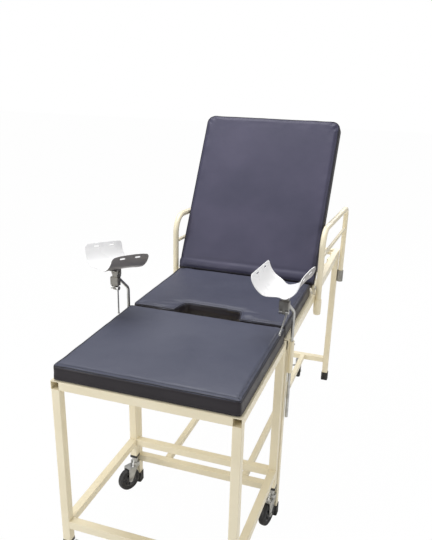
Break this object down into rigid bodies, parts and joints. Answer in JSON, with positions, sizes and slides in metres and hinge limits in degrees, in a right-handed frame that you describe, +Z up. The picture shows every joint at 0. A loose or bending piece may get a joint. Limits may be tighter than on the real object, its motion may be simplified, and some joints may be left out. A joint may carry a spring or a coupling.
{
  "type": "obstetric delivery table",
  "caption": "Sectional obstetric delivery table with a notched seat, a raised ratchet backrest, lift-out grab rails, knee crutches and a roll-away foot section on castors.",
  "frame": {"origin": "bottom centre of the whole table's box, on the floor", "axes": "X across the table, +Y towards the head end, +Z up"},
  "size_m": [0.8211, 1.8468, 1.4832],
  "materials": {
    "cream_paint": "satin",
    "navy_vinyl": "satin",
    "black_rubber": "matte",
    "black_tyre": "matte",
    "plated_steel": "satin",
    "grey_steel": "satin",
    "white_enamel": "gloss",
    "black_plastic": "matte"
  },
  "bodies": {
    "main_section": {"main_legs": "cream_paint", "main_side_rails": "cream_paint", "main_cross_rails": "cream_paint", "main_low_crossbars": "cream_paint", "main_runners": "cream_paint", "rubber_shoes": "black_rubber", "seat_deck": "cream_paint", "seat_mattress": "navy_vinyl", "crutch_sockets": "cream_paint", "grab_rail_sockets": "cream_paint", "grab_rail_collars": "grey_steel", "hinge_lugs": "cream_paint", "hinge_pins": "plated_steel", "ratchet_racks": "cream_paint", "main_castor_heads": "plated_steel"},
    "backrest": {"back_frame": "cream_paint", "back_deck": "cream_paint", "back_mattress": "navy_vinyl", "prop_pins": "plated_steel"},
    "prop": {"prop_arms": "cream_paint", "prop_bar": "plated_steel"},
    "foot_section": {"foot_legs": "cream_paint", "foot_top_rails": "cream_paint", "foot_low_rails": "cream_paint", "foot_deck": "cream_paint", "foot_mattress": "navy_vinyl", "foot_castor_heads": "plated_steel", "foot_leg_caps": "black_plastic"},
    "foot_castor_front_left_swivel": {"foot_castor_front_left_fork": "plated_steel"},
    "foot_castor_front_left_wheel": {"foot_castor_front_left_wheel": "black_tyre"},
    "foot_castor_front_right_swivel": {"foot_castor_front_right_fork": "plated_steel"},
    "foot_castor_front_right_wheel": {"foot_castor_front_right_wheel": "black_tyre"},
    "foot_castor_rear_left_swivel": {"foot_castor_rear_left_fork": "plated_steel"},
    "foot_castor_rear_left_wheel": {"foot_castor_rear_left_wheel": "black_tyre"},
    "foot_castor_rear_right_swivel": {"foot_castor_rear_right_fork": "plated_steel"},
    "foot_castor_rear_right_wheel": {"foot_castor_rear_right_wheel": "black_tyre"},
    "main_castor_left_swivel": {"main_castor_left_fork": "plated_steel"},
    "main_castor_left_wheel": {"main_castor_left_wheel": "black_tyre"},
    "main_castor_left_pedal": {"main_castor_left_pedal": "plated_steel"},
    "main_castor_right_swivel": {"main_castor_right_fork": "plated_steel"},
    "main_castor_right_wheel": {"main_castor_right_wheel": "black_tyre"},
    "main_castor_right_pedal": {"main_castor_right_pedal": "plated_steel"},
    "left_grab_rail": {"left_grab_rail": "cream_paint", "left_grab_bar": "cream_paint"},
    "left_crutch_rod": {"left_crutch_rod": "plated_steel"},
    "left_crutch_clamp": {"left_crutch_clamp": "grey_steel"},
    "left_saddle": {"left_saddle_bracket": "grey_steel", "left_saddle": "white_enamel"},
    "left_clamp_lever": {"left_clamp_lever": "plated_steel"},
    "left_crutch_lock_screw": {"left_crutch_lock_screw": "plated_steel"},
    "right_grab_rail": {"right_grab_rail": "cream_paint", "right_grab_bar": "cream_paint"},
    "right_crutch_rod": {"right_crutch_rod": "plated_steel"},
    "right_crutch_clamp": {"right_crutch_clamp": "grey_steel"},
    "right_saddle": {"right_saddle_bracket": "grey_steel", "right_saddle": "white_enamel"},
    "right_clamp_lever": {"right_clamp_lever": "plated_steel"},
    "right_crutch_lock_screw": {"right_crutch_lock_screw": "plated_steel"}
  },
  "joints": [
    {"name": "backrest_hinge", "type": "hinge", "parent": "main_section", "child": "backrest", "pos_m": [0, 0.176, 0.812], "axis": [1, 0, 0], "range_deg": [-59.6, 0]},
    {"name": "prop_pivot", "type": "hinge", "parent": "backrest", "child": "prop", "pos_m": [0, 0.35682, 1.04214], "axis": [1, 0, 0], "range_deg": [0, 105.1]},
    {"name": "foot_section_rolls_away", "type": "slide", "parent": "main_section", "child": "foot_section", "axis": [0, -1, 0], "range_m": [0, 0.6]},
    {"name": "foot_castor_front_left_swivels", "type": "hinge", "parent": "foot_section", "child": "foot_castor_front_left_swivel", "pos_m": [-0.3, -0.905, 0.109], "axis": [0, 0, 1], "continuous": true},
    {"name": "foot_castor_front_left_rolls", "type": "hinge", "parent": "foot_castor_front_left_swivel", "child": "foot_castor_front_left_wheel", "pos_m": [-0.28887, -0.87076, 0.05], "axis": [0.9511, -0.309, 0], "continuous": true},
    {"name": "foot_castor_front_right_swivels", "type": "hinge", "parent": "foot_section", "child": "foot_castor_front_right_swivel", "pos_m": [0.3, -0.905, 0.109], "axis": [0, 0, 1], "continuous": true},
    {"name": "foot_castor_front_right_rolls", "type": "hinge", "parent": "foot_castor_front_right_swivel", "child": "foot_castor_front_right_wheel", "pos_m": [0.28651, -0.87162, 0.05], "axis": [0.9272, 0.3746, 0], "continuous": true},
    {"name": "foot_castor_rear_left_swivels", "type": "hinge", "parent": "foot_section", "child": "foot_castor_rear_left_swivel", "pos_m": [-0.3, -0.369, 0.109], "axis": [0, 0, 1], "range_deg": [-50, 50]},
    {"name": "foot_castor_rear_left_rolls", "type": "hinge", "parent": "foot_castor_rear_left_swivel", "child": "foot_castor_rear_left_wheel", "pos_m": [-0.31578, -0.40136, 0.05], "axis": [-0.8988, 0.4384, 0], "continuous": true},
    {"name": "foot_castor_rear_right_swivels", "type": "hinge", "parent": "foot_section", "child": "foot_castor_rear_right_swivel", "pos_m": [0.3, -0.369, 0.109], "axis": [0, 0, 1], "range_deg": [-62, 50]},
    {"name": "foot_castor_rear_right_rolls", "type": "hinge", "parent": "foot_castor_rear_right_swivel", "child": "foot_castor_rear_right_wheel", "pos_m": [0.29252, -0.40421, 0.05], "axis": [-0.9781, 0.2079, 0], "continuous": true},
    {"name": "main_castor_left_swivels", "type": "hinge", "parent": "main_section", "child": "main_castor_left_swivel", "pos_m": [-0.145, 0.905, 0.084], "axis": [0, 0, 1], "continuous": true},
    {"name": "main_castor_left_rolls", "type": "hinge", "parent": "main_castor_left_swivel", "child": "main_castor_left_wheel", "pos_m": [-0.15061, 0.87859, 0.0375], "axis": [-0.9781, 0.2079, 0], "continuous": true},
    {"name": "main_castor_left_pedal_turns", "type": "hinge", "parent": "main_castor_left_swivel", "child": "main_castor_left_pedal", "pos_m": [-0.16558, 0.88177, 0.071], "axis": [-0.9781, 0.2079, 0], "range_deg": [0, 20]},
    {"name": "main_castor_right_swivels", "type": "hinge", "parent": "main_section", "child": "main_castor_right_swivel", "pos_m": [0.145, 0.905, 0.084], "axis": [0, 0, 1], "continuous": true},
    {"name": "main_castor_right_rolls", "type": "hinge", "parent": "main_castor_right_swivel", "child": "main_castor_right_wheel", "pos_m": [0.15244, 0.87905, 0.0375], "axis": [-0.9613, -0.2756, 0], "continuous": true},
    {"name": "main_castor_right_pedal_turns", "type": "hinge", "parent": "main_castor_right_swivel", "child": "main_castor_right_pedal", "pos_m": [0.13773, 0.87483, 0.071], "axis": [-0.9613, -0.2756, 0], "range_deg": [0, 20]},
    {"name": "left_grab_rail_lifts", "type": "slide", "parent": "main_section", "child": "left_grab_rail", "axis": [0, 0, 1], "range_m": [0, 0.08]},
    {"name": "left_crutch_rod_slides", "type": "slide", "parent": "main_section", "child": "left_crutch_rod", "axis": [0, 0, 1], "range_m": [-0.03, 0.12]},
    {"name": "left_crutch_swivels", "type": "hinge", "parent": "left_crutch_rod", "child": "left_crutch_clamp", "pos_m": [-0.326, -0.415, 0.955], "axis": [0, 0, 1], "range_deg": [-40, 0]},
    {"name": "left_saddle_tilts", "type": "hinge", "parent": "left_crutch_clamp", "child": "left_saddle", "pos_m": [-0.32808, -0.42682, 0.988], "axis": [0.9848, -0.1736, 0], "range_deg": [-25, 25]},
    {"name": "left_clamp_lever_turns", "type": "hinge", "parent": "left_crutch_clamp", "child": "left_clamp_lever", "pos_m": [-0.32956, -0.43519, 0.931], "axis": [0.9848, -0.1736, 0], "range_deg": [-80, 0]},
    {"name": "left_crutch_lock_screw_turns", "type": "hinge", "parent": "main_section", "child": "left_crutch_lock_screw", "pos_m": [-0.329, -0.319, 0.758], "axis": [0, 1, 0], "range_deg": [-180, 180]},
    {"name": "right_grab_rail_lifts", "type": "slide", "parent": "main_section", "child": "right_grab_rail", "axis": [0, 0, 1], "range_m": [0, 0.08]},
    {"name": "right_crutch_rod_slides", "type": "slide", "parent": "main_section", "child": "right_crutch_rod", "axis": [0, 0, 1], "range_m": [-0.03, 0.12]},
    {"name": "right_crutch_swivels", "type": "hinge", "parent": "right_crutch_rod", "child": "right_crutch_clamp", "pos_m": [0.315, -0.415, 0.955], "axis": [0, 0, 1], "range_deg": [-35, 35]},
    {"name": "right_saddle_tilts", "type": "hinge", "parent": "right_crutch_clamp", "child": "right_saddle", "pos_m": [0.31458, -0.42699, 0.988], "axis": [0.9994, -0.0349, 0], "range_deg": [-25, 25]},
    {"name": "right_clamp_lever_turns", "type": "hinge", "parent": "right_crutch_clamp", "child": "right_clamp_lever", "pos_m": [0.31428, -0.43549, 0.931], "axis": [0.9994, -0.0349, 0], "range_deg": [-18, 62]},
    {"name": "right_crutch_lock_screw_turns", "type": "hinge", "parent": "main_section", "child": "right_crutch_lock_screw", "pos_m": [0.329, -0.319, 0.758], "axis": [0, 1, 0], "range_deg": [-180, 180]}
  ],
  "couplings": [
    {"joint": "prop_pivot", "follows": "backrest_hinge", "ratio": -1.761}
  ]
}
